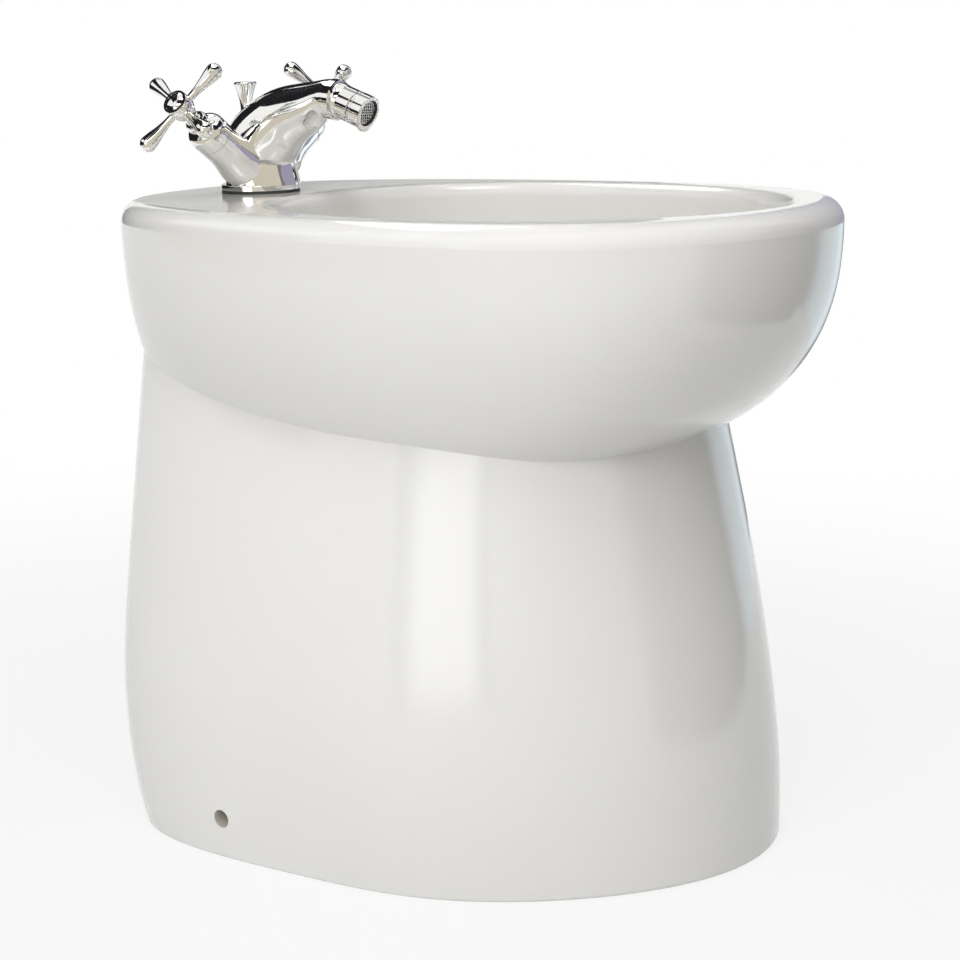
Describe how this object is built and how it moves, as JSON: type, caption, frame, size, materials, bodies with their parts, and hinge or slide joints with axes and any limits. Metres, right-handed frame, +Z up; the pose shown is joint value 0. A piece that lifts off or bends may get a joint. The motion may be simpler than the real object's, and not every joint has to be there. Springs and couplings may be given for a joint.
{
  "type": "bidet",
  "caption": "Floor-standing ceramic bidet with an oval bowl on a flared pedestal, a chrome cross-handle mixer with swivelling nozzle, and a lift-rod pop-up waste.",
  "frame": {"origin": "on the floor under the middle of the rim's length and width", "axes": "+Z up, -Y towards the front of the bowl, +X to the right of a person facing the mixer"},
  "size_m": [0.3326, 0.4698, 0.4742],
  "materials": {
    "ceramic": "gloss glaze",
    "chrome": "polished plating",
    "brass": "turned",
    "rubber": "matt",
    "steel": "brushed",
    "black_plastic": "moulded",
    "white_plastic": "moulded"
  },
  "bodies": {
    "base": {"ceramic_body": "ceramic", "mixer_body": "chrome", "base_gasket": "rubber", "fixing_stud": "brass", "half_moon_gasket": "rubber", "half_moon_washer": "steel", "fixing_nut": "brass", "hot_headwork": "brass", "cold_headwork": "brass", "hot_bonnet": "chrome", "cold_bonnet": "chrome", "spout_ring": "chrome", "ball_seals": "white_plastic", "ball_nut": "chrome", "waste_flange": "chrome", "flange_gasket": "rubber", "waste_tee": "chrome", "back_gasket": "rubber", "back_nut": "brass", "waste_tail": "chrome"},
    "hot_tap": {"hot_handle": "chrome", "hot_index_cap": "chrome", "hot_handle_screw": "steel", "hot_spindle": "brass"},
    "cold_tap": {"cold_handle": "chrome", "cold_index_cap": "chrome", "cold_handle_screw": "steel", "cold_spindle": "brass"},
    "lift": {"lift_knob": "chrome", "lift_rod": "chrome", "clevis_strap": "brass", "clevis_screw": "brass", "lever_clip": "steel"},
    "lever": {"ball_lever": "chrome"},
    "plug": {"waste_plug": "chrome", "plug_seal": "rubber"},
    "swivel": {"swivel_seal": "rubber"},
    "nozzle": {"swivel_nozzle": "chrome", "nozzle_collar": "chrome", "aerator_ring": "black_plastic", "aerator_screen": "steel"}
  },
  "joints": [
    {"name": "hot_handle_turn", "type": "hinge", "parent": "base", "child": "hot_tap", "pos_m": [-0.0752, 0.161, 0.4475], "axis": [-0.829, 0, 0.5592], "range_deg": [0, 90]},
    {"name": "cold_handle_turn", "type": "hinge", "parent": "base", "child": "cold_tap", "pos_m": [0.0752, 0.161, 0.4475], "axis": [0.829, 0, 0.5592], "range_deg": [-90, 0]},
    {"name": "lift_rod_slide", "type": "slide", "parent": "base", "child": "lift", "axis": [0, 0, 1], "range_m": [0, 0.032]},
    {"name": "lever_turn", "type": "hinge", "parent": "base", "child": "lever", "pos_m": [0, 0.007, 0.19], "axis": [1, 0, 0], "range_deg": [0, 11.2]},
    {"name": "plug_slide", "type": "slide", "parent": "base", "child": "plug", "axis": [0, 0, 1], "range_m": [-0.0053, 0]},
    {"name": "nozzle_yaw", "type": "hinge", "parent": "base", "child": "swivel", "pos_m": [0, 0.095, 0.449], "axis": [0, 0, 1], "range_deg": [-10, 10]},
    {"name": "nozzle_pitch", "type": "hinge", "parent": "swivel", "child": "nozzle", "pos_m": [0, 0.095, 0.449], "axis": [1, 0, 0], "range_deg": [-26, 1]}
  ],
  "couplings": [
    {"joint": "lever_turn", "follows": "lift_rod_slide", "rad_per_m": 6.0968},
    {"joint": "plug_slide", "follows": "lift_rod_slide", "ratio": -0.16514}
  ]
}
